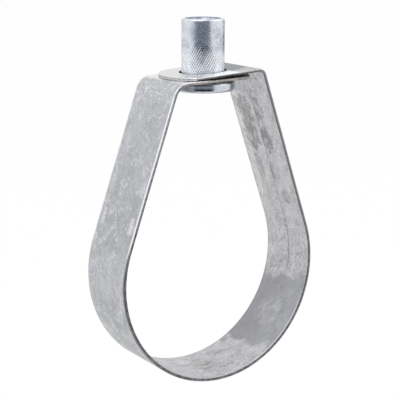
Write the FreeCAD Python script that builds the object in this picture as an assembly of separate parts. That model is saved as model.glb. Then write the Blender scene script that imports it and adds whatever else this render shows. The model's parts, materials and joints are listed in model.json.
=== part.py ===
"""Swivel ring hanger for a hung pipe: a folded steel band, and the flanged nut on which it turns.

The band is one strip. It runs from the lower leaf over the left bend, down the left leg, round the pipe, up the
right leg and over the right bend into the upper leaf, which laps over the lower one. Both leaves have a round
end and a round hole. The nut's barrel stands up through the two holes, and its flange carries the lower leaf.

Frame: millimetres, +Z up along the hanging rod, +Y along the pipe, origin at the centre of the pipe ring.
"""

import FreeCAD, Part
import math
import os

Vector = FreeCAD.Vector
RIGHT = Vector(1, 0, 0)
ALONG_PIPE = Vector(0, 1, 0)
UP = Vector(0, 0, 1)

# Strip
STRIP_THICKNESS = 0.9
STRIP_WIDTH = 21.4
STRIP_EDGE_ROUND = 0.2

# Ring and legs
RING_INNER_RADIUS = 32.75
CROWN_HEIGHT = 57.25  # ring's centre to the lower leaf's underside, at the rod's axis
LEFT_HALF_WIDTH = 14.5  # rod's axis to the left leg's inner face, at the crown's height
RIGHT_HALF_WIDTH = 14.9
LEFT_BEND_RADIUS = 4.2  # inside the bend
RIGHT_BEND_RADIUS = 1.6

# Leaves
LOWER_LEAF_TILT = 1.5  # degrees, rising towards its tip
LAP_ANGLE = 1.8  # degrees, by which the upper leaf springs open from the lower one
LAP_GAP = 0.06  # between the leaves, where the left bend starts
UPPER_LEAF_REACH = 13.0  # rod's axis to the leaf's tip
LOWER_TIP_CLEARANCE = 1.7  # lower leaf's tip to the right leg, at the crown's height
LEAF_END_RADIUS = 16.5
FRONT_CORNER_RADIUS = 0.4  # at the strip's front edge, -Y, where the leaf's end is cropped short
BACK_CORNER_RADIUS = 9.0

# Nut
NUT_HEIGHT = 21.0
BARREL_RADIUS = 6.35
BARREL_EDGE_ROUND = 0.45
BARREL_FOOT_FILLET = 0.3
FLANGE_RADIUS = 9.5
FLANGE_THICKNESS = 3.2
FLANGE_EDGE_ROUND = 1.1
ROD_THREAD_RADIUS = 4.76  # 3/8 inch rod
ROD_THREAD_DEPTH = 0.79  # from the thread's outside to the bore's wall
COUNTERSINK_TOP = 0.55  # by which the mouth is wider than the rod's radius
COUNTERSINK_BOTTOM = 0.15

# Fits
SWIVEL_CLEARANCE = 0.75  # nut's barrel to the edge of the leaves' holes, all round
SEAT_CLEARANCE = 0.1  # nut's flange to the lower leaf

LOWER_LEAF_REACH = RIGHT_HALF_WIDTH - LOWER_TIP_CLEARANCE
UPPER_LEAF_TILT = LOWER_LEAF_TILT + LAP_ANGLE
HOLE_RADIUS = BARREL_RADIUS + SWIVEL_CLEARANCE
BORE_RADIUS = ROD_THREAD_RADIUS - ROD_THREAD_DEPTH


def leg_lean(half_width):
    """Radians from upright at which a leg passes through its corner of the crown and touches the ring."""
    corner_distance = math.hypot(half_width, CROWN_HEIGHT)
    corner_angle = math.atan2(half_width, CROWN_HEIGHT)
    return math.asin(RING_INNER_RADIUS / corner_distance) - corner_angle


def outward(direction):
    """The strip's outer side, where the strip runs in this direction round the ring, up the right leg."""
    return Vector(direction.z, 0, -direction.x)


def leaf_direction(tilt):
    """The strip's direction in a leaf that rises by this many degrees towards +X."""
    return Vector(-math.cos(math.radians(tilt)), 0, -math.sin(math.radians(tilt)))


def meet(point_a, direction_a, point_b, direction_b):
    """Where two lines in the XZ plane cross."""
    between = point_b - point_a
    turn = direction_a.x * direction_b.z - direction_a.z * direction_b.x
    travel = (between.x * direction_b.z - between.z * direction_b.x) / turn
    return point_a + direction_a * travel


def bend_points(corner, direction_in, direction_out, radius):
    """Where a bend of this inner radius starts and ends, on the strip's inner face."""
    half_turn = direction_in.getAngle(direction_out) / 2
    setback = radius * math.tan(half_turn)
    return corner - direction_in * setback, corner + direction_out * setback


def strip_section(point, direction):
    """The strip's section at a point of its inner face: a rectangle with rounded corners."""
    out = outward(direction)
    half = STRIP_WIDTH / 2
    edge = STRIP_EDGE_ROUND
    diagonal = edge * (1 - math.sqrt(0.5))

    def at(depth, across):
        return point + out * depth + ALONG_PIPE * across

    edges = []
    for near, far, side in ((0, STRIP_THICKNESS, 1), (STRIP_THICKNESS, 0, -1)):
        inward = 1 if far > near else -1
        corner_start = at(near, side * (half - edge))
        corner_middle = at(near + inward * diagonal, side * (half - diagonal))
        corner_end = at(near + inward * edge, side * half)
        edges.append(Part.Arc(corner_start, corner_middle, corner_end).toShape())
        side_end = at(far - inward * edge, side * half)
        edges.append(Part.makeLine(corner_end, side_end))
        corner_middle = at(far - inward * diagonal, side * (half - diagonal))
        corner_end = at(far, side * (half - edge))
        edges.append(Part.Arc(side_end, corner_middle, corner_end).toShape())
        edges.append(Part.makeLine(corner_end, at(far, -side * (half - edge))))
    return Part.Face(Part.Wire(edges))


def straight(start, end):
    """A straight length of strip between two points of its inner face."""
    return strip_section(start, (end - start).normalize()).extrude(end - start)


def bend(start, direction_in, direction_out, radius):
    """A bent length of strip from a point of its inner face. Every bend turns towards the inner face."""
    centre = start - outward(direction_in) * radius
    turn = math.degrees(math.atan2(
        direction_in.z * direction_out.x - direction_in.x * direction_out.z,
        direction_in.dot(direction_out),
    )) % 360
    return strip_section(start, direction_in).revolve(centre, ALONG_PIPE * -1, 360 - turn)


def leaf(reach, fold_distance):
    """A leaf on the XY plane, its hole on the Z axis, its round end's tip at X = reach and its fold behind."""
    half = STRIP_WIDTH / 2
    end_depth = LEAF_END_RADIUS - math.sqrt(LEAF_END_RADIUS**2 - half**2)
    front = Vector(reach - end_depth, -half, 0)
    back = Vector(reach - end_depth, half, 0)
    fold_front = Vector(-fold_distance, -half, 0)
    fold_back = Vector(-fold_distance, half, 0)
    outline = Part.Wire([
        Part.makeLine(fold_front, front),
        Part.Arc(front, RIGHT * reach, back).toShape(),
        Part.makeLine(back, fold_back),
        Part.makeLine(fold_back, fold_front),
    ])
    plate = Part.Face(outline).extrude(UP * STRIP_THICKNESS)
    for corner, radius in ((front, FRONT_CORNER_RADIUS), (back, BACK_CORNER_RADIUS)):
        upright = corner + UP * (STRIP_THICKNESS / 2)
        plate = plate.makeFillet(radius, [e for e in plate.Edges if e.CenterOfMass.isEqual(upright, 1e-6)])
    plate = plate.cut(Part.makeCylinder(HOLE_RADIUS, STRIP_THICKNESS))
    sheared = [edge for edge in plate.Edges if is_sheared_edge(edge, -fold_distance)]
    return plate.makeFillet(STRIP_EDGE_ROUND, sheared)


def is_sheared_edge(edge, fold_x):
    """Whether an edge of a leaf lies in its top or bottom face and off the fold."""
    box = edge.BoundBox
    flat = box.ZLength < STRIP_EDGE_ROUND / 2
    on_fold = abs(edge.CenterOfMass.x - fold_x) < STRIP_EDGE_ROUND / 2
    return flat and not on_fold


def ring_band():
    """The whole band, made from its lower leaf's tip to its upper leaf's."""
    left_lean = leg_lean(LEFT_HALF_WIDTH)
    right_lean = leg_lean(RIGHT_HALF_WIDTH)
    down_left_leg = Vector(-math.sin(left_lean), 0, -math.cos(left_lean))
    up_right_leg = Vector(-math.sin(right_lean), 0, math.cos(right_lean))
    along_lower_leaf = leaf_direction(LOWER_LEAF_TILT)
    along_upper_leaf = leaf_direction(UPPER_LEAF_TILT)
    left_touch = Vector(-math.cos(left_lean), 0, math.sin(left_lean)) * RING_INNER_RADIUS
    right_touch = Vector(math.cos(right_lean), 0, math.sin(right_lean)) * RING_INNER_RADIUS

    lower_level = UP * CROWN_HEIGHT
    left_corner = meet(lower_level, along_lower_leaf, left_touch, down_left_leg)
    left_start, left_end = bend_points(left_corner, along_lower_leaf, down_left_leg, LEFT_BEND_RADIUS)
    lap_point = left_start + outward(along_lower_leaf) * (STRIP_THICKNESS + LAP_GAP)
    upper_level = meet(lap_point, along_upper_leaf, Vector(0, 0, 0), UP)
    right_corner = meet(lap_point, along_upper_leaf, right_touch, up_right_leg)
    right_start, right_end = bend_points(right_corner, up_right_leg, along_upper_leaf, RIGHT_BEND_RADIUS)

    lower_leaf = leaf(LOWER_LEAF_REACH, (left_start - lower_level).Length)
    lower_leaf.rotate(Vector(0, 0, 0), ALONG_PIPE, -LOWER_LEAF_TILT)
    lower_leaf.translate(lower_level)
    upper_leaf = leaf(UPPER_LEAF_REACH, (right_end - upper_level).Length)
    upper_leaf = upper_leaf.mirror(Vector(0, 0, 0), RIGHT)
    upper_leaf.rotate(Vector(0, 0, 0), ALONG_PIPE, -UPPER_LEAF_TILT)
    upper_leaf.translate(upper_level)

    pieces = [
        bend(left_start, along_lower_leaf, down_left_leg, LEFT_BEND_RADIUS),
        straight(left_end, left_touch),
        bend(left_touch, down_left_leg, up_right_leg, RING_INNER_RADIUS),
        straight(right_touch, right_start),
        bend(right_start, up_right_leg, along_upper_leaf, RIGHT_BEND_RADIUS),
        upper_leaf,
    ]
    return lower_leaf.fuse(pieces).removeSplitter()


def swivel_nut():
    """The nut: a barrel on a round-edged flange, with a bore for the rod, turned about the rod's axis."""
    lowest_contact = (FLANGE_RADIUS - FLANGE_EDGE_ROUND) * math.tan(math.radians(LOWER_LEAF_TILT))
    seat = CROWN_HEIGHT - lowest_contact - SEAT_CLEARANCE
    foot = seat - FLANGE_THICKNESS
    top = foot + NUT_HEIGHT
    blank = Part.makeCylinder(FLANGE_RADIUS, FLANGE_THICKNESS, UP * foot)
    blank = blank.makeFillet(FLANGE_EDGE_ROUND, round_edges(blank, FLANGE_RADIUS))
    barrel = Part.makeCylinder(BARREL_RADIUS, top - seat, UP * seat)
    barrel = barrel.makeFillet(BARREL_EDGE_ROUND, round_edges(barrel, BARREL_RADIUS)[-1:])
    blank = blank.fuse(barrel)
    blank = blank.makeFillet(BARREL_FOOT_FILLET, round_edges(blank, BARREL_RADIUS)[:1])

    top_mouth = ROD_THREAD_RADIUS + COUNTERSINK_TOP
    bottom_mouth = ROD_THREAD_RADIUS + COUNTERSINK_BOTTOM
    top_depth = top_mouth - BORE_RADIUS
    bottom_depth = bottom_mouth - BORE_RADIUS
    bore = Part.makeCylinder(BORE_RADIUS, NUT_HEIGHT, UP * foot)
    top_cone = Part.makeCone(BORE_RADIUS, top_mouth, top_depth, UP * (top - top_depth))
    bottom_cone = Part.makeCone(bottom_mouth, BORE_RADIUS, bottom_depth, UP * foot)
    return blank.cut([bore, top_cone, bottom_cone])


def round_edges(solid, radius):
    """The solid's whole circles of this radius, lowest first."""
    circles = [e for e in solid.Edges if isinstance(e.Curve, Part.Circle)]
    circles = [e for e in circles if abs(e.Curve.Radius - radius) < 1e-6]
    return sorted(circles, key=lambda e: e.CenterOfMass.z)


os.makedirs("parts", exist_ok=True)
for name, solid in {"ring_band": ring_band(), "swivel_nut": swivel_nut()}.items():
    print(name, "valid", solid.isValid(), "solids", len(solid.Solids), "volume", round(solid.Volume, 2))
    solid.exportStep(f"parts/{name}.step")
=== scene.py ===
"""Looks of the swivel ring hanger: the folded galvanised band and the knurled, zinc-plated nut it turns on.

Metres, +Z up along the hanging rod, +Y along the pipe, origin at the pipe ring's centre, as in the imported
part. Along the strip, distances run from the ring's lowest point, positive up the right leg and negative up
the left one. The materials count them in millimetres.
"""

import json
from collections import namedtuple
from math import asin, atan2, ceil, cos, hypot, pi, radians, sin, sqrt, tan

import bmesh
import bpy
from mathutils import Matrix, Vector, noise
from mathutils.geometry import delaunay_2d_cdt


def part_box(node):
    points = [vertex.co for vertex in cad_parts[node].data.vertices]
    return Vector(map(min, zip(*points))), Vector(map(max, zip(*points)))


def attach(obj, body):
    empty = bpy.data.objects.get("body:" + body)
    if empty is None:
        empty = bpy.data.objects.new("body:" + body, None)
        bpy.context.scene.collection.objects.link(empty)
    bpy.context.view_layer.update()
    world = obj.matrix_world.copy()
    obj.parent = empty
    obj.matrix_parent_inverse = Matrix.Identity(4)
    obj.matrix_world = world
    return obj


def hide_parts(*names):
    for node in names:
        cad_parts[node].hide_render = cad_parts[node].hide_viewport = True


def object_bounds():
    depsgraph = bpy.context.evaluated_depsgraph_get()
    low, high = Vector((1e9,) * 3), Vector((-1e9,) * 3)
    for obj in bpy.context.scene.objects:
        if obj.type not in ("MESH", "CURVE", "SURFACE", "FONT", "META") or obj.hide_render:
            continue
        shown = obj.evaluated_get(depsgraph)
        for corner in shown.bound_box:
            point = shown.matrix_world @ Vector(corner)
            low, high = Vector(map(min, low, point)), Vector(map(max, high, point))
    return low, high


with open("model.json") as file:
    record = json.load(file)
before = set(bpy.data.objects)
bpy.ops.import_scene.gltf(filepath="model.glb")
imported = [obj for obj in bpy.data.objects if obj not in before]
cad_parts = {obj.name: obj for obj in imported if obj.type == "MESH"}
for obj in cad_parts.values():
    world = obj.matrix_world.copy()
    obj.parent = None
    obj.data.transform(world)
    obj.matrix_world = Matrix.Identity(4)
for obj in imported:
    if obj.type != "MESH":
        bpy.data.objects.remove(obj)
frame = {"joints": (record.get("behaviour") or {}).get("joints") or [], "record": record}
cad_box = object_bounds()

MM = 0.001


def mount(name):
    return next(m for m in frame["record"]["mounts"] if m["name"] == name)


# The strip and its ring, the first three sizes as the frame gives them
RING_RADIUS = mount("pipe_seat")["dims"]["r_mm"] * MM
STRIP_WIDTH = mount("pipe_seat")["dims"]["length_mm"] * MM
THICKNESS = -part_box("ring_band")[0].z - RING_RADIUS
STRIP_ROUND = 0.2 * MM

# Where the strip is folded, and its two leaves
CROWN_HEIGHT = frame["joints"][0]["pos_m"][2]
LEFT_HALF_WIDTH = 14.5 * MM
RIGHT_HALF_WIDTH = 14.9 * MM
LEFT_BEND_RADIUS = 4.2 * MM
RIGHT_BEND_RADIUS = 1.6 * MM
LOWER_LEAF_TILT = radians(1.5)
UPPER_LEAF_TILT = radians(3.3)
LAP_GAP = 0.06 * MM
LOWER_REACH = 13.2 * MM
UPPER_REACH = 13.0 * MM
END_RADIUS = 16.5 * MM
FRONT_CORNER = 0.4 * MM
BACK_CORNER = 9.0 * MM
HOLE_RADIUS = 7.1 * MM

# How uneven the strip is: waves of its faces and grain of its sheared edge, with their depths
BROAD_WAVES = (14 * MM, 11 * MM)
BROAD_DEPTH = 0.030 * MM
SMALL_WAVES = (3.5 * MM, 3 * MM)
SMALL_DEPTH = 0.006 * MM
SHEAR_GRAIN = (0.7 * MM, 0.7 * MM, 2 * MM)
BURNISHED_DEPTH = 0.012 * MM
TORN_DEPTH = 0.03 * MM  # on top of the burnished part's
TORN_BELOW = 0.2  # of the thickness
TORN_FADE = 0.5

# The nut
NUT_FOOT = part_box("swivel_nut")[0].z
NUT_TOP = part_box("swivel_nut")[1].z
FLANGE_RADIUS = 9.5 * MM
FLANGE_THICKNESS = 3.2 * MM
FLANGE_ROUND = 1.1 * MM
BARREL_RADIUS = 6.35 * MM
BARREL_ROUND = 0.45 * MM
FOOT_FILLET = 0.3 * MM
BORE_RADIUS = mount("rod_thread")["dims"]["r_mm"] * MM
THREAD_DEPTH = 0.79 * MM
THREAD_PITCH = 1.5875 * MM
THREAD_ROOT_FLAT = THREAD_PITCH / 8
THREAD_FLANK_SLOPE = sqrt(3)
TOP_MOUTH_RADIUS = 5.31 * MM
FOOT_MOUTH_RADIUS = 4.91 * MM
SEAT = NUT_FOOT + FLANGE_THICKNESS

# Knurl: crossed grooves, fine and steep, which fade out towards the barrel's worn top
KNURL_STARTS = 54
KNURL_ANGLE = radians(30)
KNURL_TRACKS = [(-1, 0.17 * MM), (1, 0.09 * MM)]  # hand, depth
GROOVE_HALF_WIDTH = 0.24  # of a pitch
KNURL_FULL_BELOW = 5.5 * MM  # above the flange
KNURL_FADED_ABOVE = 11.5 * MM
KNURL_FADE_WAVES = 3 * MM
KNURL_FAINTEST = 0.08
KNURL_END_FADE = 0.5 * MM
PATCHINESS = 0.8
GROOVE_SPREAD = 0.7
GROOVE_SEEDS = Vector((0.73, 5, 2))  # steps from groove to groove and from hand to hand, and the start

# Fineness of the band's mesh
STATION_STEP = 0.6 * MM
BEND_STEP = radians(6)
ROWS_ACROSS = 32
GRID_MARGIN = 0.35 * MM
HOLE_STEPS = 120
END_STEP = 0.5 * MM
CORNER_STEPS = 4
ROUND_STEPS = 3
MIDDLE_ROWS = (0.6, 0.4)  # of the thickness
INSIDE_ONLY = 1  # the triangulation's output
CLOSEST_POINTS = 1e-6  # millimetres

# Fineness of the nut's mesh
KNURL_SAMPLES = 5
FLANGE_ROUND_STEPS = 8
FILLET_STEPS = 4
CROWN_STEPS = 5
BORE_ROW_STEP = 0.16 * MM
MOUTH_RING_GAP = 0.6 * MM
FLANGE_RING_GAP = 0.8 * MM
AROUND = KNURL_STARTS * KNURL_SAMPLES
KNURL_LOW = SEAT + FOOT_FILLET
KNURL_HIGH = NUT_TOP - BARREL_ROUND
KNURL_STEP = 2 * pi * BARREL_RADIUS / AROUND / tan(KNURL_ANGLE)
KNURL_ROWS = 2 * round((KNURL_HIGH - KNURL_LOW) / KNURL_STEP)
KNURL_LEAD = (KNURL_HIGH - KNURL_LOW) / KNURL_ROWS * 2 * KNURL_SAMPLES

# Kinds of the band's faces, and the maps that the materials read
OUTER, INNER, SHEARED = range(3)
PATTERN = "flat_pattern"
THROUGH = "depth_in_sheet"
GROOVE_SHARES = "knurl_wear"
SPREAD = "spread"

# Camera, as fitted to the photograph
CAMERA_AZIMUTH = radians(-33.434)
CAMERA_ELEVATION = radians(13.035)
CAMERA_ROLL = radians(0.174)
CAMERA_DISTANCE = 366.117 * MM
CAMERA_TARGET = Vector((0, 0, 20.537 * MM))
FRAME_PIXELS = 400
FOCAL_PIXELS = 1214.66
PRINCIPAL_POINT = (202.4, 199.3)
SENSOR_WIDTH = 36.0
NEAREST_SEEN = 0.01

Stretch = namedtuple("Stretch", "start length point direction radius")
NutRing = namedtuple("NutRing", "radius height half_step")
Mark = namedtuple("Mark", "along across half_length half_width strength")
Place = namedtuple("Place", "flat along across ragged")
Card = namedtuple("Card", "name azimuths distances heights levels fade")
Lamp = namedtuple("Lamp", "name azimuth elevation distance size power")


def outward(direction):
    """The strip's outer side in the XZ plane, where the strip runs in this direction."""
    return Vector((direction.y, -direction.x))


def meet(point_a, direction_a, point_b, direction_b):
    """Where two lines in the XZ plane cross."""
    between = point_b - point_a
    turn = direction_a.x * direction_b.y - direction_a.y * direction_b.x
    return point_a + direction_a * ((between.x * direction_b.y - between.y * direction_b.x) / turn)


def leg_lean(half_width):
    """Angle from upright at which a leg passes through its corner of the crown and touches the ring."""
    corner = hypot(half_width, CROWN_HEIGHT)
    return asin(RING_RADIUS / corner) - atan2(half_width, CROWN_HEIGHT)


def strip_path():
    """The strip's stretches on its inner face, from the lower leaf's tip to the upper leaf's."""
    left_lean = leg_lean(LEFT_HALF_WIDTH)
    right_lean = leg_lean(RIGHT_HALF_WIDTH)
    down = Vector((-sin(left_lean), -cos(left_lean)))
    up = Vector((-sin(right_lean), cos(right_lean)))
    lower = Vector((-cos(LOWER_LEAF_TILT), -sin(LOWER_LEAF_TILT)))
    upper = Vector((-cos(UPPER_LEAF_TILT), -sin(UPPER_LEAF_TILT)))
    left_touch = outward(down) * RING_RADIUS
    right_touch = outward(up) * RING_RADIUS

    lower_hole = Vector((0, CROWN_HEIGHT))
    left_corner = meet(lower_hole, lower, left_touch, down)
    left_turn = lower.angle(down)
    left_setback = LEFT_BEND_RADIUS * tan(left_turn / 2)
    left_start = left_corner - lower * left_setback
    left_end = left_corner + down * left_setback
    lap_point = left_start + outward(lower) * (THICKNESS + LAP_GAP)
    upper_hole = meet(lap_point, upper, Vector((0, 0)), Vector((0, 1)))
    right_corner = meet(lap_point, upper, right_touch, up)
    right_turn = up.angle(upper)
    right_setback = RIGHT_BEND_RADIUS * tan(right_turn / 2)
    right_start = right_corner - up * right_setback
    right_end = right_corner + upper * right_setback
    lower_tip = lower_hole - lower * LOWER_REACH
    upper_tip = upper_hole + upper * UPPER_REACH

    half_turn = pi / 2 + left_lean
    runs = [
        (lower_tip, lower, 0, (left_start - lower_tip).length),
        (left_start, lower, LEFT_BEND_RADIUS, LEFT_BEND_RADIUS * left_turn),
        (left_end, down, 0, (left_touch - left_end).length),
        (left_touch, down, RING_RADIUS, RING_RADIUS * (pi + left_lean + right_lean)),
        (right_touch, up, 0, (right_start - right_touch).length),
        (right_start, up, RIGHT_BEND_RADIUS, RIGHT_BEND_RADIUS * right_turn),
        (right_end, upper, 0, (upper_tip - right_end).length),
    ]
    before_ring = sum(run[-1] for run in runs[:3])
    start = -before_ring - RING_RADIUS * half_turn
    path = []
    for point, direction, radius, length in runs:
        path.append(Stretch(start, length, point, direction, radius))
        start += length
    return path


PATH = strip_path()
LOWER_LEAF, LEFT_BEND, LEFT_LEG, RING, RIGHT_LEG, RIGHT_BEND, UPPER_LEAF = PATH
STRIP_START = LOWER_LEAF.start
STRIP_END = UPPER_LEAF.start + UPPER_LEAF.length
LOWER_HOLE = STRIP_START + LOWER_REACH
UPPER_HOLE = STRIP_END - UPPER_REACH


def strip_noise(along, across, sizes, seed):
    return noise.noise(Vector((along / sizes[0], across / sizes[1], seed)))


def unevenness(along, across):
    """How far the strip lies inside its true face: it's never quite flat."""
    broad = strip_noise(along, across, BROAD_WAVES, seed=3.1)
    small = strip_noise(along, across, SMALL_WAVES, seed=8.7)
    return BROAD_DEPTH * (broad - 1) + SMALL_DEPTH * (small - 1)


def on_strip(along, across, depth):
    """A point of the band, from its place on the flat strip. Depth is 0 on the inner face."""
    stretch = next((s for s in PATH if along <= s.start + s.length), PATH[-1])
    travel = along - stretch.start
    out = outward(stretch.direction)
    lift = depth + unevenness(along, across)
    if stretch.radius:
        angle = travel / stretch.radius
        turned = out * cos(angle) + stretch.direction * sin(angle)
        centre = stretch.point - out * stretch.radius
        flat = centre + turned * (stretch.radius + lift)
    else:
        flat = stretch.point + stretch.direction * travel + out * lift
    return Vector((flat.x, across, flat.y))


def corner_centre(side, radius):
    """Centre of a leaf's rounded corner, along and across from the centre of its end's arc."""
    across = side * (STRIP_WIDTH / 2 - radius)
    return sqrt((END_RADIUS - radius) ** 2 - across**2), across


def leaf_end(hole, reach, towards, inset):
    """A leaf's round end, from the strip's front edge to its back edge, as places on the flat strip."""
    end_centre = hole + towards * (reach - END_RADIUS)
    front = corner_centre(-1, FRONT_CORNER)
    back = corner_centre(1, BACK_CORNER)
    front_angle = atan2(front[1], front[0])
    back_angle = atan2(back[1], back[0])
    arcs = [
        (front, FRONT_CORNER, -pi / 2, front_angle),
        ((0, 0), END_RADIUS, front_angle, back_angle),
        (back, BACK_CORNER, back_angle, pi / 2),
    ]
    points = []
    for (along, across), radius, first, last in arcs:
        steps = max(CORNER_STEPS, ceil(radius * (last - first) / END_STEP))
        for i in range(1 if points else 0, steps + 1):
            angle = first + (last - first) * i / steps
            point_along = along + (radius - inset) * cos(angle)
            points.append((end_centre + towards * point_along, across + (radius - inset) * sin(angle)))
    return points


def stations():
    """Distances along the strip at which the mesh has a row, closer together round the bends."""
    found = []
    for stretch in PATH:
        step = min(STATION_STEP, stretch.radius * BEND_STEP) if stretch.radius else STATION_STEP
        count = ceil(stretch.length / step)
        found += [stretch.start + stretch.length * i / count for i in range(count)]
    return found[1:]


STATIONS = stations()


def strip_outline(inset):
    """The flat strip's outline, this far inside its edge."""
    upper = leaf_end(UPPER_HOLE, UPPER_REACH, 1, inset)
    lower = leaf_end(LOWER_HOLE, LOWER_REACH, -1, inset)
    edge = STRIP_WIDTH / 2 - inset
    front = [(s, -edge) for s in STATIONS if lower[0][0] < s < upper[0][0]]
    back = [(s, edge) for s in STATIONS if lower[-1][0] < s < upper[-1][0]]
    return front + upper + back[::-1] + lower[::-1]


def hole_outline(hole, inset):
    """A leaf's hole, this far outside its edge."""
    radius = HOLE_RADIUS + inset
    turns = [2 * pi * i / HOLE_STEPS for i in range(HOLE_STEPS)]
    return [(hole + radius * cos(a), radius * sin(a)) for a in turns]


def is_clear(along, across):
    """Whether a grid point is inside the strip's outline and off its holes and rounded edges."""
    keep_off = STRIP_ROUND + GRID_MARGIN
    corner_along, corner_across = corner_centre(1, BACK_CORNER)
    corner_start = atan2(corner_across, corner_along)
    for hole, reach, towards in ((LOWER_HOLE, LOWER_REACH, -1), (UPPER_HOLE, UPPER_REACH, 1)):
        if hypot(along - hole, across) < HOLE_RADIUS + keep_off:
            return False
        beyond = towards * (along - hole) - (reach - END_RADIUS)
        if beyond > 0 and hypot(beyond, across) > END_RADIUS - keep_off:
            return False
        from_corner = (beyond - corner_along, across - corner_across)
        in_corner = corner_start < atan2(from_corner[1], from_corner[0]) < pi / 2
        if in_corner and hypot(*from_corner) > BACK_CORNER - keep_off:
            return False
    return True


def rim_profile():
    """The strip's edge from its outer face to its inner face: (inset, depth)."""
    radius = STRIP_ROUND
    quarter = [pi / 2 * i / ROUND_STEPS for i in range(ROUND_STEPS + 1)]
    outer = [(radius * (1 - sin(a)), THICKNESS - radius * (1 - cos(a))) for a in quarter]
    inner = [(radius * (1 - cos(a)), radius * (1 - sin(a))) for a in quarter]
    return outer + [(0, THICKNESS * share) for share in MIDDLE_ROWS] + inner


def shear_roughness(along, across, depth):
    """How far the sheared edge stands back: the torn part of the cut is rougher than the burnished part."""
    torn = 1 - min(1, max(0, depth / THICKNESS - TORN_BELOW) / TORN_FADE)
    place = (value / size for value, size in zip((along, across, depth), SHEAR_GRAIN))
    grain = noise.noise(Vector(place))
    return (BURNISHED_DEPTH + TORN_DEPTH * torn) * (0.5 + 0.5 * grain)


def into_strip(hole, along, across):
    """The way into the strip from a place on its outline, or on that of one of its holes."""
    if hole is None:
        middle = min(max(along, LOWER_HOLE), UPPER_HOLE)
        return Vector((middle - along, -across)).normalized()
    return Vector((along - hole, across)).normalized()


def rim_row(hole, inset, depth):
    """Places round the strip's outline, or a hole's, at one depth. The sheared ones stand back unevenly."""
    places = strip_outline(inset) if hole is None else hole_outline(hole, inset)
    sheared = STRIP_ROUND < depth < THICKNESS - STRIP_ROUND / 2
    row = []
    for along, across in places:
        if sheared:
            back = shear_roughness(along, across, depth)
            inwards = into_strip(hole, along, across)
            along += inwards.x * back
            across += inwards.y * back
        row.append((along, across, depth))
    return row


def face_grid():
    """Places of the mesh inside a face of the flat strip."""
    half = STRIP_WIDTH / 2 - STRIP_ROUND
    rows = [half * (2 * j / ROWS_ACROSS - 1) for j in range(1, ROWS_ACROSS)]
    return [(along, across) for along in STATIONS for across in rows if is_clear(along, across)]


def fill_face(places, loops, grid):
    """Triangles between the outline, the holes and the grid of a face, all given as numbers of places."""
    owners = [index for loop in (*loops, grid) for index in loop]
    hole_of = [number for number, loop in enumerate(loops) for index in loop] + [0] * len(grid)
    edges = []
    first = 0
    for loop in loops:
        edges += [(first + i, first + (i + 1) % len(loop)) for i in range(len(loop))]
        first += len(loop)
    flat = [Vector(places[index][:2]) / MM for index in owners]
    made = delaunay_2d_cdt(flat, edges, [], INSIDE_ONLY, CLOSEST_POINTS)
    triangles, origins = made[2], made[3]
    faces = []
    for triangle in triangles:
        corners = [origins[corner][0] for corner in triangle]
        over_a_hole = hole_of[corners[0]] and len({hole_of[corner] for corner in corners}) == 1
        if not over_a_hole:
            faces.append(tuple(owners[corner] for corner in corners))
    return faces


def band_mesh():
    """The band on the flat strip: its places, its faces and the kind of each face."""
    places, faces, kinds, rims = [], [], [], []
    profile = rim_profile()
    for hole in (None, LOWER_HOLE, UPPER_HOLE):
        rows = []
        for inset, depth in profile:
            row = rim_row(hole, inset, depth)
            rows.append(range(len(places), len(places) + len(row)))
            places += row
        rims.append(rows)
        for k, (upper, lower) in enumerate(zip(rows, rows[1:])):
            middle = (profile[k][1] + profile[k + 1][1]) / 2
            faces += faces_between(upper, lower)
            kinds += [OUTER if middle > THICKNESS - STRIP_ROUND else SHEARED] * len(upper)
    grid = face_grid()
    for side, depth, kind in ((0, THICKNESS, OUTER), (-1, 0, INNER)):
        inside = range(len(places), len(places) + len(grid))
        places += [(along, across, depth) for along, across in grid]
        filled = fill_face(places, [rows[side] for rows in rims], inside)
        faces += filled
        kinds += [kind] * len(filled)
    return places, faces, kinds


def faces_between(here, there, step_here=0, step_there=0):
    """Faces between two rings of points: four-sided, or triangles where one ring is turned by half a step."""
    faces = []
    for i in range(len(here)):
        j = (i + 1) % len(here)
        if step_here == step_there:
            faces.append((here[i], here[j], there[j], there[i]))
        elif step_there:
            faces.append((here[i], here[j], there[i]))
            faces.append((here[j], there[j], there[i]))
        else:
            faces.append((here[i], there[j], there[i]))
            faces.append((here[i], here[j], there[j]))
    return faces


def add_map(mesh, name, values):
    """A UV map that gives each point of the mesh two numbers."""
    layer = mesh.uv_layers.new(name=name)
    for loop in mesh.loops:
        layer.data[loop.index].uv = values[loop.vertex_index]


def new_object(name, data):
    made = bpy.data.objects.new(name, data)
    bpy.context.scene.collection.objects.link(made)
    return made


def new_piece(name, mesh, materials, weight):
    """The mesh's object, its faces turned outwards and smooth, its normals weighted by their sizes."""
    shape = bmesh.new()
    shape.from_mesh(mesh)
    bmesh.ops.recalc_face_normals(shape, faces=shape.faces)
    shape.to_mesh(mesh)
    shape.free()
    mesh.shade_smooth()
    for material in materials:
        mesh.materials.append(material)
    piece = new_object(name, mesh)
    piece.modifiers.new("even_normals", "WEIGHTED_NORMAL").weight = weight
    return piece


def build_band():
    """The band's object. Its flat pattern, in metres, and its depth in the sheet are UV maps."""
    places, faces, kinds = band_mesh()
    mesh = bpy.data.meshes.new("folded_band")
    mesh.from_pydata([on_strip(*place) for place in places], [], faces)
    mesh.polygons.foreach_set("material_index", kinds)
    add_map(mesh, PATTERN, [place[:2] for place in places])
    add_map(mesh, THROUGH, [(place[2] / THICKNESS, 0) for place in places])
    faced = [galvanised("galvanised_outer", OUTER), galvanised("galvanised_inner", INNER)]
    return new_piece("folded_band", mesh, [*faced, sheared_steel()], weight=80)


def barrel_noise(angle, height, scale, length, seed=0):
    return noise.noise(Vector((cos(angle) * scale, sin(angle) * scale, seed + height / length)))


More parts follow.
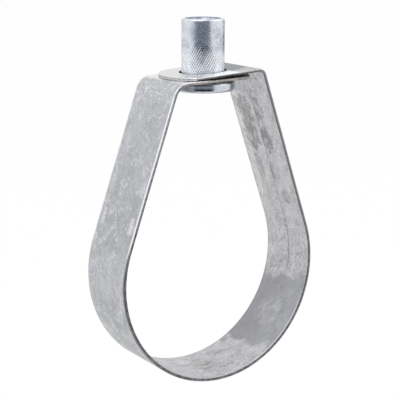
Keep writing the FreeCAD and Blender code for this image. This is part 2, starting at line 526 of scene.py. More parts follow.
def knurl_shares(angle, height):
    """How much of its full depth each hand's grooves have at a point of the barrel."""
    faded_from = height - SEAT + barrel_noise(angle, height, scale=1.6, length=4 * MM) * KNURL_FADE_WAVES
    fade = min(1, max(0, (faded_from - KNURL_FULL_BELOW) / (KNURL_FADED_ABOVE - KNURL_FULL_BELOW)))
    near_end = min(height - KNURL_LOW, KNURL_HIGH - height) / KNURL_END_FADE
    whole = (1 + (KNURL_FAINTEST - 1) * fade) * min(1, max(0, near_end))
    shares = []
    for hand, depth in KNURL_TRACKS:
        phase = KNURL_STARTS * angle / (2 * pi) + hand * (height - KNURL_LOW) / KNURL_LEAD
        from_groove = abs(phase - round(phase))
        patch = barrel_noise(angle, height, scale=5, length=2.2 * MM, seed=hand * 9)
        groove = noise.noise(GROOVE_SEEDS * Vector((round(phase), hand, 1)))
        uneven = 1 + PATCHINESS * patch + GROOVE_SPREAD * groove
        shares.append(whole * uneven * max(0, 1 - from_groove / GROOVE_HALF_WIDTH))
    return shares


def knurled_radius(angle, height):
    """The barrel's radius at a point of its knurl."""
    shares = knurl_shares(angle, height)
    return BARREL_RADIUS - max(share * depth for share, (hand, depth) in zip(shares, KNURL_TRACKS))


def thread_radius(angle, height):
    """The bore's radius at a point of its thread, right-handed, opened by the countersinks at both ends."""
    phase = height / THREAD_PITCH - angle / (2 * pi)
    from_root = abs(phase % 1 - 0.5) * THREAD_PITCH
    flank = THREAD_DEPTH - max(0, from_root - THREAD_ROOT_FLAT / 2) * THREAD_FLANK_SLOPE
    threaded = BORE_RADIUS + max(0, flank)
    top_cone = TOP_MOUTH_RADIUS - (NUT_TOP - height)
    foot_cone = FOOT_MOUTH_RADIUS - (height - NUT_FOOT)
    return max(threaded, top_cone, foot_cone)


def arc_rings(centre_radius, centre_height, radius, first, last, steps):
    """Rings of a round on the nut's section, angles in degrees from straight out."""
    found = []
    for i in range(steps + 1):
        a = radians(first + (last - first) * i / steps)
        found.append(NutRing(centre_radius + radius * cos(a), centre_height + radius * sin(a), 0))
    return found


def nut_rings():
    """The nut's rings in order round its section. A radius is a number or a function of angle and height."""
    flange_round = FLANGE_RADIUS - FLANGE_ROUND
    rings = [NutRing(FOOT_MOUTH_RADIUS + MOUTH_RING_GAP, NUT_FOOT, 0)]
    rings.append(NutRing(flange_round - FLANGE_RING_GAP, NUT_FOOT, 0))
    for height, first in ((NUT_FOOT + FLANGE_ROUND, -90), (SEAT - FLANGE_ROUND, 0)):
        rings += arc_rings(flange_round, height, FLANGE_ROUND, first, first + 90, FLANGE_ROUND_STEPS)
    rings.append(NutRing(flange_round - FLANGE_RING_GAP, SEAT, 0))
    foot_radius = BARREL_RADIUS + FOOT_FILLET
    rings += arc_rings(foot_radius, KNURL_LOW, FOOT_FILLET, -90, -180, FILLET_STEPS)
    for row in range(1, KNURL_ROWS):
        height = KNURL_LOW + (KNURL_HIGH - KNURL_LOW) * row / KNURL_ROWS
        rings.append(NutRing(knurled_radius, height, row % 2))
    rings += arc_rings(BARREL_RADIUS - BARREL_ROUND, KNURL_HIGH, BARREL_ROUND, 0, 90, CROWN_STEPS)
    bore_rows = round((NUT_TOP - NUT_FOOT) / BORE_ROW_STEP)
    for row in range(bore_rows + 1):
        rings.append(NutRing(thread_radius, NUT_TOP - (NUT_TOP - NUT_FOOT) * row / bore_rows, 0))
    return rings


def build_nut():
    """The nut's object: one closed mesh, ring after ring round its section. The shares of its knurl's grooves
    are a UV map.
    """
    points, groove_shares, faces = [], [], []
    rings = nut_rings()
    step = 2 * pi / AROUND
    for k, ring in enumerate(rings):
        for i in range(AROUND):
            angle = step * (i + ring.half_step / 2)
            reach = ring.radius(angle, ring.height) if callable(ring.radius) else ring.radius
            points.append((reach * cos(angle), reach * sin(angle), ring.height))
            groove_shares.append(knurl_shares(angle, ring.height) if ring.radius is knurled_radius else (0, 0))
        following = (k + 1) % len(rings)
        here = range(k * AROUND, (k + 1) * AROUND)
        there = range(following * AROUND, (following + 1) * AROUND)
        faces += faces_between(here, there, ring.half_step, rings[following].half_step)
    mesh = bpy.data.meshes.new("knurled_nut")
    mesh.from_pydata(points, [], faces)
    for face in mesh.polygons:
        in_bore = all(rings[index // AROUND].radius is thread_radius for index in face.vertices)
        face.material_index = 1 if in_bore else 0
    add_map(mesh, GROOVE_SHARES, groove_shares)
    return new_piece("knurled_nut", mesh, [zinc_plate(), bore_zinc()], weight=50)


class Net:
    """Adds nodes to a material or the world and joins them up."""

    def __init__(self, tree):
        self.tree = tree
        tree.nodes.clear()

    def add(self, kind, inputs=(), **settings):
        """A new node. Inputs are pairs of a socket's name or number and its value or the socket it takes."""
        node = self.tree.nodes.new(kind)
        for key, value in settings.items():
            setattr(node, key, value)
        for key, value in inputs:
            socket = node.inputs[key]
            if isinstance(value, bpy.types.NodeSocket):
                self.tree.links.new(value, socket)
            else:
                socket.default_value = (*value, 1) if socket.type == "RGBA" else value  # opaque
        return node

    def maths(self, operation, first, *others):
        """A Math node on one value, or on the first of several and each of the others in turn."""
        for other in others or [0.0]:
            first = self.add("ShaderNodeMath", [(0, first), (1, other)], operation=operation).outputs[0]
        return first

    def plus(self, *values):
        return self.maths("ADD", *values)

    def minus(self, first, second):
        return self.maths("SUBTRACT", first, second)

    def times(self, *values):
        return self.maths("MULTIPLY", *values)

    def most(self, *values):
        return self.maths("MAXIMUM", *values)

    def weighted(self, *pairs):
        """The sum of values, each times its weight."""
        return self.plus(*(self.times(value, weight) for value, weight in pairs))

    def wavy(self, value, waves, amount):
        """A value moved to and fro by an amount of some waves."""
        return self.plus(value, self.times(waves, amount))

    def smooth(self, value, low, high, at_low=0.0, at_high=1.0):
        """A smooth step of a value from low to high."""
        ends = [("From Min", low), ("From Max", high), ("To Min", at_low), ("To Max", at_high)]
        step = self.add("ShaderNodeMapRange", [("Value", value), *ends], interpolation_type="SMOOTHSTEP")
        return step.outputs["Result"]

    def window(self, value, low, high, soft):
        """1 where a value lies between low and high, with soft ends."""
        rise = self.smooth(value, low - soft, low + soft)
        return self.times(rise, self.smooth(value, high - soft, high + soft, 1, 0))

    def uv(self, name):
        return self.add("ShaderNodeUVMap", uv_map=name).outputs["UV"]

    def split(self, vector):
        """A vector's three numbers."""
        return self.add("ShaderNodeSeparateXYZ", [(0, vector)]).outputs

    def stretched(self, vector, scale, offset=(0, 0, 0)):
        node = self.add("ShaderNodeMapping", [("Vector", vector), ("Scale", scale), ("Location", offset)])
        return node.outputs["Vector"]

    def cloud(self, vector, scale=1.0, detail=4.0, roughness=0.55, distortion=0.0):
        """Noise from about 0.25 to 0.75."""
        inputs = [("Vector", vector), ("Scale", scale), ("Detail", detail)]
        inputs += [("Roughness", roughness), ("Distortion", distortion)]
        return self.add("ShaderNodeTexNoise", inputs).outputs["Fac"]

    def grain(self, flat, along, across, seed=0, **settings):
        """Noise on the flat strip, with a scale of its own along it and across it."""
        return self.cloud(self.stretched(flat, (along, across, 1), (0, 0, seed)), **settings)

    def blend(self, share, first, second):
        """Mixes two colours."""
        return self.add("ShaderNodeMix", [(0, share), (6, first), (7, second)], data_type="RGBA").outputs[2]

    def layered(self, colour, layers):
        """A colour with others laid over it in turn, each by its share."""
        for share, over in layers:
            colour = self.blend(share, colour, over)
        return colour

    def bump(self, height, strength, distance):
        inputs = [("Height", height), ("Strength", strength), ("Distance", distance)]
        return self.add("ShaderNodeBump", inputs).outputs["Normal"]


def new_material(name):
    material = bpy.data.materials.new(name)
    material.use_nodes = True
    return material, Net(material.node_tree)


def close_material(net, inputs, **constants):
    """The material's shader and output."""
    shader = net.add("ShaderNodeBsdfPrincipled", inputs)
    for name, value in constants.items():
        shader.inputs[name.replace("_", " ").title()].default_value = value
    net.add("ShaderNodeOutputMaterial", [("Surface", shader.outputs["BSDF"])])


# Places on the flat strip in millimetres, as the materials count them
EDGE_ACROSS = STRIP_WIDTH / 2 / MM
LOWER_HOLE_AT = LOWER_HOLE / MM
UPPER_HOLE_AT = UPPER_HOLE / MM
LEFT_BEND_FROM = LEFT_BEND.start / MM
LEFT_LEG_FROM = LEFT_LEG.start / MM
RING_FROM = RING.start / MM
RIGHT_BEND_FROM = RIGHT_BEND.start / MM
UPPER_LEAF_FROM = UPPER_LEAF.start / MM
LEAF_CROP = END_RADIUS - sqrt(END_RADIUS**2 - (STRIP_WIDTH / 2) ** 2)
LOW_END_AT = (STRIP_START + LEAF_CROP) / MM
HIGH_END_AT = (STRIP_END - LEAF_CROP) / MM
BEND_CREST = (-118, -112)
SMOOTH_PATCH = (18, 43)
HATCHED = (42, 66)
CENTRE_LINE = (44, 108)

# Marks of use, in millimetres on the flat strip. The last of the inner stains is grime and painted shade
# under the lower leaf.
INNER_STAINS_AND_SEAT_SHADE = [
    Mark(98.5, 4.9, 6, 3, 0.62),
    Mark(90.5, 4.6, 4, 3.2, 0.62),
    Mark(80.2, 5.2, 5, 1.6, 0.4),
    Mark(100.5, -2.4, 3.9, 2.2, 0.6),
    Mark(90.3, -2.6, 4.2, 2.4, 0.68),
    Mark(79, -2, 3.2, 2.2, 0.36),
    Mark(71, -5, 2.2, 1.8, 0.4),
    Mark(108, 1.5, 4, 6, 0.22),
    Mark(1.5, 0, 4.5, 5.5, 0.24),
    Mark(2.2, 1, 1.7, 1.3, 0.7),
    Mark(1.4, 5.3, 1.8, 0.6, 0.55),
    Mark(0, -2.2, 2.2, 0.9, 0.55),
    Mark(6, -4.6, 3, 0.8, 0.4),
    Mark(9.5, 4.5, 2.2, 0.5, 0.35),
    Mark(-4, 2.8, 2, 0.4, 0.35),
    # Under the lower leaf round its hole: grime where the nut's flange seats, and painted shade
    Mark(LOWER_HOLE_AT, 0, 12.5, 12.5, 0.95),
]
INNER_SCUFFS = [
    Mark(30.5, 0.5, 4.5, 5, 0.5),
]
OUTER_STAINS = [
    Mark(-66.5, 0.5, 6.5, 10, 0.3),
    Mark(-75, 0, 8, 9, 0.28),
    Mark(-41, -1, 6, 9, 0.36),
    Mark(-28, 0, 7, 10, 0.36),
    Mark(-84, 2, 9, 5.5, 0.2),
    Mark(-100, -3, 8, 4, 0.22),
    Mark(-42, -8.7, 4.5, 0.5, 0.5),
]
OUTER_SCUFFS = [
    Mark(-107.6, -1, 2.4, 7.5, 1),
    Mark(-107, 8, 8, 2.2, 0.7),
    Mark(-88, 7.8, 9, 2.2, 0.6),
    Mark(-75, 1.5, 4, 4, 0.4),
    Mark(-54, 2, 5, 7, 0.3),
    Mark(-101, 0, 5, 9, 0.35),
]
TOOL_MARKS = [
    Mark(-69.6, 8.1, 2.6, 0.9, 0.7),
    Mark(-69.4, -7.7, 2.5, 0.9, 0.75),
]

# Colours of the band. Pairs are of the dull and the light parts of a cloudy surface.
# Dirt and painted shade in the lap between the leaves
LAP_DIRT_AND_SHADE = (0.03, 0.028, 0.027)
OUTER_ZINC = ((0.42, 0.43, 0.445), (0.55, 0.56, 0.585))
OUTER_STAIN = (0.27, 0.28, 0.265)
SCRATCH = (0.80, 0.81, 0.85)
FLECK = (0.88, 0.89, 0.92)
PIT = (0.22, 0.225, 0.24)
# Painted highlight along the left bend's crest
PAINTED_CREST_HIGHLIGHT = (0.80, 0.80, 0.81)
TOOL_MARK = (0.78, 0.79, 0.83)
# Painted highlight along the front edge, down the left leg
PAINTED_EDGE_HIGHLIGHT = (0.98, 0.98, 1)
# Painted shade along the ring's front edge
PAINTED_EDGE_SHADE = (0.13, 0.13, 0.135)
# Painted highlight along the back edge, down the left leg
PAINTED_BACK_EDGE_HIGHLIGHT = (0.80, 0.81, 0.84)
# Painted sheen over the upper leaf
PAINTED_LEAF_SHEEN = (0.75, 0.755, 0.775)
# Painted reflection of the nut on the upper leaf, in front of it
PAINTED_NUT_REFLECTION = (0.90, 0.93, 0.98)
OIL = (0.15, 0.155, 0.16)
INNER_ZINC = ((0.46, 0.46, 0.47), (0.64, 0.64, 0.655))
PATCH_ZINC = ((0.325, 0.33, 0.355), (0.40, 0.405, 0.43))
PATCH_SHADE = (0.27, 0.27, 0.285)
BACK_STRIPE = (0.76, 0.76, 0.765)
INNER_SCUFF = (0.62, 0.62, 0.64)
# Stains, and grime with painted shade under the lower leaf
INNER_STAIN_AND_SEAT_SHADE = (0.18, 0.18, 0.187)
VEIN = (0.16, 0.16, 0.17)
SCORED = (0.17, 0.17, 0.18)
BACK_RIM = (0.16, 0.15, 0.15)
FRONT_RUB = (0.75, 0.75, 0.77)
RING_SLIT = ((0.11, 0.105, 0.12), (0.27, 0.255, 0.28))
LEG_SLIT = ((0.26, 0.25, 0.265), (0.47, 0.455, 0.475))
RIGHT_SLIT = (0.34, 0.32, 0.35)
LEAF_SLIT = ((0.33, 0.31, 0.295), (0.52, 0.495, 0.48))
# Dark torn steel low in the slit edge, strengthened on the upper leaf as painted shade of the gap below it
TORN_STEEL_AND_GAP_SHADE = (0.045, 0.038, 0.04)
CROPPED = ((0.30, 0.29, 0.285), (0.52, 0.505, 0.505))
# Painted light on the lower part of the leaves' cut ends, against the lap's shadow
CROPPED_PAINTED_LIGHT = (0.92, 0.90, 0.90)


def away_from(net, at, mark):
    """Distance from a mark's middle, 1 at its ragged outline."""
    scale = (1 / mark.half_length, 1 / mark.half_width, 1)
    place = net.stretched(at.flat, scale, (-mark.along * scale[0], -mark.across * scale[1], 0))
    away = net.add("ShaderNodeVectorMath", [(0, place)], operation="LENGTH").outputs["Value"]
    return net.plus(away, at.ragged)


def marked(net, at, marks, soft=0.35):
    """Strength of the strongest mark at each place. The marks are round or oval, with ragged outlines."""
    found = 0
    for mark in marks:
        away = away_from(net, at, mark)
        found = net.most(found, net.smooth(away, 1 - soft, 1 + soft, mark.strength, 0))
    return found


def outlined(net, at, marks):
    """The same marks' outlines, wavy and slightly darker."""
    found = 0
    for mark in marks:
        from_line = net.maths("ABSOLUTE", net.minus(away_from(net, at, mark), 0.95))
        found = net.most(found, net.smooth(from_line, 0, 0.16, mark.strength, 0))
    return found


def pressed(net, at, marks):
    """As marked, for oblong marks with square ends."""
    found = 0
    along = net.wavy(at.along, at.ragged, 1.4)
    across = net.wavy(at.across, at.ragged, 0.84)
    for mark in marks:
        ends = net.window(along, mark.along - mark.half_length, mark.along + mark.half_length, 0.3)
        sides = net.window(across, mark.across - mark.half_width, mark.across + mark.half_width, 0.18)
        found = net.most(found, net.times(ends, sides, mark.strength))
    return found


def veins(net, flat, scale, seed, width):
    """Thin wandering lines, as between patches of zinc."""
    wander = net.grain(flat, scale, scale, seed, detail=4, roughness=0.6, distortion=0.7)
    return net.smooth(net.maths("ABSOLUTE", net.minus(wander, 0.5)), 0, width, 1, 0)


def scratches(net, flat, angle, seed):
    """Fine, short, broken scratches at an angle to the strip, most of them in a few places."""
    turned = net.add("ShaderNodeMapping", [("Vector", flat), ("Rotation", (0, 0, angle))]).outputs["Vector"]
    lines = net.grain(turned, 0.16, 3.2, seed, detail=1)
    where = net.grain(flat, 0.1, 0.16, seed + 3, detail=1)
    return net.times(net.smooth(lines, 0.61, 0.66), net.smooth(where, 0.54, 0.66))


def place_on_strip(net):
    """Place on the flat strip in millimetres, with the noise that makes the outlines of marks ragged."""
    flat = net.stretched(net.uv(PATTERN), (1 / MM, 1 / MM, 1))
    split = net.split(flat)
    cloud = net.cloud(flat, 0.5, detail=5, distortion=0.4)
    return Place(flat, split[0], split[1], net.times(net.minus(cloud, 0.5), 2))


def galvanised(name, side):
    """Dull zinc on rolled sheet: cloudy, faintly streaked along the strip, veined, scuffed and stained, with
    dirt and painted shade in the lap between the leaves.
    """
    material, net = new_material(name)
    at = place_on_strip(net)
    seed = 5 * side
    fine = net.grain(at.flat, 1.6, 1.9, seed, detail=4, roughness=0.7)
    broad = net.grain(at.flat, 0.22, 0.3, seed, detail=5, distortion=1.2)
    streak = net.grain(at.flat, 0.08, 1.2, seed, detail=3)
    tone = net.weighted((fine, 0.55), (broad, 0.37), (streak, 0.08))
    light = net.smooth(tone, 0.38, 0.62)
    if side == OUTER:
        colour, relief = outer_colour(net, at, light)
    else:
        colour, relief = inner_colour(net, at, light, seed)
    inputs = [
        ("Base Color", net.blend(lapped(net, at, side), colour, LAP_DIRT_AND_SHADE)),
        ("Roughness", net.smooth(tone, 0.38, 0.62, 0.42, 0.30)),
        ("Normal", net.bump(net.wavy(fine, relief, 0.5), 0.3, 0.02 * MM)),
    ]
    close_material(net, inputs, metallic=1.0)
    return material


def lapped(net, at, side):
    """Dirt and painted shade where the other leaf lies on this face, up to just short of the leaves' ends."""
    if side == OUTER:
        centre, past = LOWER_HOLE + UPPER_REACH - END_RADIUS, 1
    else:
        centre, past = UPPER_HOLE - LOWER_REACH + END_RADIUS, -1
    beyond = net.most(net.times(net.minus(at.along, centre / MM), past), 0)
    squares = net.plus(net.times(beyond, beyond), net.times(at.across, at.across))
    radius = END_RADIUS / MM
    covered = net.smooth(net.maths("SQRT", squares), radius - 4, radius - 2, 0.95, 0)
    if side == OUTER:
        return covered
    tip = STRIP_END / MM
    return net.times(covered, net.smooth(at.along, tip - 7, tip - 4, 1, 0))


def outer_colour(net, at, light):
    """Colour and relief of the outer face: scratched and scuffed light, with a painted highlight along the
    left bend's crest, painted highlights and shade at its edges, and the upper leaf's layers.
    """
    scratch = scratched(net, at.flat)
    speck = net.grain(at.flat, 1.3, 1.7, 9, detail=4, roughness=0.7)
    sparse = net.smooth(speck, 0.61, 0.67, 0, 0.45)
    scuffed = net.times(net.smooth(speck, 0.52, 0.58), marked(net, at, OUTER_SCUFFS, 0.6))
    pit = net.smooth(net.grain(at.flat, 1.1, 1.4, 19, detail=4, roughness=0.7), 0.60, 0.68)
    layers = [
        (marked(net, at, OUTER_STAINS), OUTER_STAIN),
        (net.times(scratch, 0.75), SCRATCH),
        (net.times(net.most(sparse, scuffed), 0.75), FLECK),
        (net.times(pit, 0.2), PIT),
        # painted highlight along the left bend's crest
        (net.window(net.wavy(at.along, at.ragged, 0.6), *BEND_CREST, 0.6), PAINTED_CREST_HIGHLIGHT),
        (net.times(pressed(net, at, TOOL_MARKS), net.smooth(speck, 0.40, 0.56, 0.35, 1)), TOOL_MARK),
        *edge_layers(net, at),
        *leaf_layers(net, at),
    ]
    return net.layered(net.blend(light, *OUTER_ZINC), layers), scratch


def scratched(net, flat):
    """Straight scratches both ways, and curly ones in some places."""
    straight = net.times(net.most(scratches(net, flat, 0.9, 1), scratches(net, flat, -0.5, 2)), 0.6)
    curly = net.most(veins(net, flat, 0.13, 11, 0.016), veins(net, flat, 0.3, 12, 0.03))
    some = net.smooth(net.cloud(flat, 0.2, detail=2), 0.50, 0.56, 0, 0.8)
    return net.most(straight, net.times(curly, some))


def edge_layers(net, at):
    """Layers at the outer face's edges: painted highlights along both edges down the left leg, and painted
    shade along the ring's front edge.
    """
    near_front = net.wavy(net.plus(at.across, EDGE_ACROSS), at.ragged, 0.12)
    near_back = net.plus(net.minus(EDGE_ACROSS, at.across), at.ragged)
    on_leg = net.smooth(at.along, RING_FROM - 3, RING_FROM + 4, 1, 0)
    below_bend = net.times(on_leg, net.smooth(at.along, LEFT_LEG_FROM - 2, LEFT_LEG_FROM + 2, 0.3, 1))
    on_ring = net.window(at.along, RING_FROM + 6, -10, 5)
    return [
        # painted highlight along the front edge
        (net.times(net.smooth(near_front, 0.4, 0.85, 1, 0), below_bend), PAINTED_EDGE_HIGHLIGHT),
        # painted shade along the ring's front edge
        (net.times(net.smooth(near_front, 0.2, 1.1, 0.75, 0), on_ring), PAINTED_EDGE_SHADE),
        # painted highlight along the back edge
        (net.times(net.smooth(near_back, 0.2, 0.9, 0.7, 0), on_leg), PAINTED_BACK_EDGE_HIGHLIGHT),
    ]


def leaf_layers(net, at):
    """The upper leaf's layers: a painted sheen, a painted reflection of the nut in front beside it, and oily
    at the right bend.
    """
    # Painted reflection of the nut, in front beside it
    nut_reflection = net.window(at.along, UPPER_HOLE_AT - 6, UPPER_HOLE_AT + 4, 2.5)
    oily = net.window(net.plus(at.along, at.ragged), RIGHT_BEND_FROM, RIGHT_BEND_FROM + 9.5, 1.5)
    slanted = net.plus(net.times(net.minus(at.along, RIGHT_BEND_FROM), 0.5), at.across, at.ragged)
    return [
        # painted sheen over the upper leaf
        (net.smooth(at.along, UPPER_HOLE_AT - 7, UPPER_HOLE_AT - 1, 0, 0.85), PAINTED_LEAF_SHEEN),
        (net.times(nut_reflection, net.smooth(at.across, -7.4, -6.2, 0.9, 0)), PAINTED_NUT_REFLECTION),
        (net.times(oily, net.smooth(slanted, -4.5, -2, 0.15, 0.84)), OIL),
    ]


def inner_colour(net, at, light, seed):
    """Colour and relief of the inner face: stains up the right leg, grime and painted shade under the lower
    leaf round its hole, and a smooth grey patch in the ring.
    """
    bays = net.times(net.minus(net.cloud(at.flat, 0.16, detail=3, roughness=0.5), 0.5), 10)
    skew = net.weighted((at.across, 0.2), (at.ragged, 0.8))
    patch = net.window(net.plus(at.along, bays, skew), *SMOOTH_PATCH, 1.1)
    shade = net.smooth(net.wavy(at.across, at.ragged, 3), -9, 7, 0, 0.55)
    shade = net.times(patch, shade, net.smooth(at.along, 24, 32, 1, 0.85))
    back = net.times(net.smooth(at.across, 6, 8.5), net.smooth(at.along, 60, 72))
    solid = net.smooth(net.grain(at.flat, 0.35, 0.5, 31, detail=4), 0.43, 0.53, 0.35, 1)
    stain_and_seat_shade = net.times(marked(net, at, INNER_STAINS_AND_SEAT_SHADE, 0.3), solid)
    vein = inner_veins(net, at.flat, seed)
    bare = net.times(vein, net.smooth(patch, 0, 1, 0.6, 0.21))
    layers = [
        (net.times(patch, 0.85), net.blend(light, *PATCH_ZINC)),
        (shade, PATCH_SHADE),
        (net.times(back, 0.45), BACK_STRIPE),
        (net.times(marked(net, at, INNER_SCUFFS), light), INNER_SCUFF),
        (net.wavy(stain_and_seat_shade, outlined(net, at, INNER_STAINS_AND_SEAT_SHADE), 0.35), INNER_STAIN_AND_SEAT_SHADE),
        (net.most(bare, hatching(net, at)), VEIN),
        *line_layers(net, at),
    ]
    return net.layered(net.blend(light, *INNER_ZINC), layers), vein


def inner_veins(net, flat, seed):
    """Veins of two sizes, fainter in some places."""
    vein = net.most(veins(net, flat, 0.22, seed, 0.018), veins(net, flat, 0.45, seed + 2, 0.028))
    return net.times(vein, net.smooth(net.cloud(flat, 0.12, detail=2), 0.38, 0.62, 0.25, 1))


def hatching(net, at):
    """Short dark marks along the middle of the strip, where the ring goes over into the right leg."""
    hatch = net.grain(at.flat, 0.9, 2.2, 41, detail=4, roughness=0.75)
    hatch = net.times(net.smooth(hatch, 0.53, 0.60), net.window(at.across, -2, 5, 2))
    return net.times(hatch, net.window(at.along, *HATCHED, 5), 0.9)


def line_layers(net, at):
    """Layers: a line scored up the right leg, a dark rim at the back, and a rubbed line at the front."""
    line = net.window(net.wavy(at.across, at.ragged, 0.4), -0.72, -0.4, 0.16)
    rim = net.smooth(net.wavy(at.across, at.ragged, 0.15), 10, 10.45, 0, 0.4)
    rubbed = net.window(net.plus(at.across, EDGE_ACROSS), 0.35, 0.75, 0.2)
    return [
        (net.times(line, net.window(at.along, *CENTRE_LINE, 4), 0.85), SCORED),
        (net.times(rim, net.smooth(at.along, 0, 20)), BACK_RIM),
        (net.times(rubbed, net.window(at.along, 12, 38, 4), 0.8), FRONT_RUB),
    ]


def sheared_steel():
    """The strip's cut edge: bare, brown-grey steel, lined across the cut and fresher on the leaves' ends,
    with painted shade low on the upper leaf's slit edge and painted light low on the leaves' ends.
    """
    material, net = new_material("sheared_edge")
    at = place_on_strip(net)
    depth = net.split(net.uv(THROUGH))[0]
    lines = net.grain(at.flat, 4, 4, detail=2)
    patches = net.grain(at.flat, 0.3, 0.3, detail=3)
    beads = net.grain(at.flat, 0.9, 0.9, 3, detail=2)
    light = net.smooth(net.weighted((lines, 0.35), (patches, 0.3), (beads, 0.35)), 0.42, 0.58)
    # On the upper leaf the torn part is darker, as painted shade of the gap between the leaves
    torn_and_gap_shade = net.smooth(at.along, UPPER_LEAF_FROM, UPPER_LEAF_FROM + 3, 0.3, 0.85)
    torn = net.smooth(net.wavy(depth, patches, 0.3), 0.35, 0.95, torn_and_gap_shade, 0)
    slit = net.blend(torn, slit_colour(net, at.along, light), TORN_STEEL_AND_GAP_SHADE)
    # Painted light on the lower part of the cut ends
    low = net.smooth(depth, 0, 0.5, 0.85, 0)
    cropped = net.blend(low, net.blend(light, *CROPPED), CROPPED_PAINTED_LIGHT)
    at_low_end = net.smooth(at.along, LOW_END_AT, LOW_END_AT + 0.3, 1, 0)
    at_end = net.most(at_low_end, net.smooth(at.along, HIGH_END_AT - 0.3, HIGH_END_AT))
    inputs = [
        ("Base Color", net.blend(at_end, slit, cropped)),
        ("Normal", net.bump(lines, 0.5, 0.03 * MM)),
        ("Roughness", net.smooth(at_end, 0, 1, 0.42, 0.7)),
        ("Metallic", net.smooth(at_end, 0, 1, 1, 0.4)),
    ]
    close_material(net, inputs)
    return material


def slit_colour(net, along, light):
    """The slit edge: dark round the ring, lighter up both legs, and brown on the leaves."""
    on_leg = net.smooth(along, RING_FROM - 38, RING_FROM + 8, 1, 0)
    at_bend = net.window(along, LEFT_BEND_FROM, LEFT_LEG_FROM + 2, 2.5)
    on_lower_leaf = net.smooth(along, LEFT_BEND_FROM, LEFT_BEND_FROM + 3, 1, 0)
    on_upper_leaf = net.smooth(along, UPPER_LEAF_FROM, UPPER_LEAF_FROM + 3)
    layers = [
        (net.minus(on_leg, net.times(at_bend, 0.5)), net.blend(light, *LEG_SLIT)),
        (net.smooth(along, 10, 105, 0.1, 0.8), RIGHT_SLIT),
        (net.plus(on_lower_leaf, on_upper_leaf), net.blend(light, *LEAF_SLIT)),
    ]
    return net.layered(net.blend(light, *RING_SLIT), layers)


# Colours of the nut
NUT_ZINC = ((0.48, 0.52, 0.58), (0.72, 0.75, 0.80))
KNURLED = (0.90, 0.93, 0.97)
# Painted shade along the knurl's shallower grooves
PAINTED_GROOVE_SHADE = (0.22, 0.25, 0.30)
# Painted highlight along the knurl's deeper grooves
PAINTED_GROOVE_HIGHLIGHT = (0.98, 0.98, 0.99)
# Painted highlight on the nut's top rim
PAINTED_RIM_HIGHLIGHT = (0.97, 0.97, 0.98)
# Zinc in the thread, darkened partly as painted shade of the bore
THREAD_ZINC_AND_SHADE = ((0.26, 0.29, 0.36), (0.50, 0.54, 0.62))
# Dirt and painted shade at the bore's top mouth
MOUTH_DIRT_AND_SHADE = (0.06, 0.09, 0.15)


def zinc_plate():
    """Bright, faintly blue zinc plate, mottled on the barrel and clean on the turned flange, with painted
    highlights and painted shade along the knurl's grooves and a painted highlight on its top rim.
    """
    material, net = new_material("zinc_plate")
    place = net.add("ShaderNodeTexCoord").outputs["Object"]
    height = net.split(place)[2]
    on_barrel = net.smooth(height, SEAT - 0.3 * MM, SEAT + 0.5 * MM, 0.25, 1)
    mottle = net.cloud(place, 1100, detail=4, roughness=0.6)
    share = net.weighted((mottle, 0.5), (net.cloud(place, 260, detail=2), 0.5))
    share = net.plus(net.times(net.minus(share, 0.5), on_barrel), 0.5)
    knurled = net.window(height, SEAT + 0.5 * MM, SEAT + 8.5 * MM, 2 * MM)
    groove_shares = net.split(net.uv(GROOVE_SHARES))
    # Painted highlight along the deeper grooves, which are also made less metallic
    groove_highlight = net.smooth(groove_shares[0], 0.15, 0.8)
    layers = [
        (net.times(knurled, 0.6), KNURLED),
        # painted shade along the shallower grooves, and a painted highlight along the deeper ones
        (net.smooth(groove_shares[1], 0.3, 1, 0, 0.65), PAINTED_GROOVE_SHADE),
        (groove_highlight, PAINTED_GROOVE_HIGHLIGHT),
        # painted highlight on the top rim
        (net.smooth(height, NUT_TOP - 0.16 * MM, NUT_TOP - 0.04 * MM, 0, 0.45), PAINTED_RIM_HIGHLIGHT),
    ]
    relief = net.times(mottle, on_barrel, net.smooth(knurled, 0, 1, 1, 0.4))
    inputs = [
        ("Base Color", net.layered(net.blend(net.smooth(share, 0.41, 0.59), *NUT_ZINC), layers)),
        ("Roughness", net.smooth(share, 0.36, 0.64, 0.16, 0.28)),
        ("Normal", net.bump(relief, 1, 0.06 * MM)),
        ("Metallic", net.minus(net.smooth(knurled, 0, 1, 1, 0.8), net.times(groove_highlight, 0.45))),
    ]
    close_material(net, inputs)
    return material


def bore_zinc():
    """The thread's zinc: thin, dull and dirty, and darkened as painted shade inside the bore and at its top
    mouth.
    """
    material, net = new_material("bore_zinc")
    place = net.add("ShaderNodeTexCoord").outputs["Object"]
    dirt = net.smooth(net.cloud(place, 700, detail=4), 0.35, 0.65)
    # Dirt and painted shade at the bore's top mouth
    lip = net.smooth(net.split(place)[2], NUT_TOP - 0.3 * MM, NUT_TOP - 0.15 * MM, 0, 0.65)
    inputs = [
        ("Base Color", net.blend(lip, net.blend(dirt, *THREAD_ZINC_AND_SHADE), MOUTH_DIRT_AND_SHADE)),
        ("Roughness", net.smooth(dirt, 0, 1, 0.38, 0.5)),
    ]
    close_material(net, inputs, metallic=1.0)
    return material


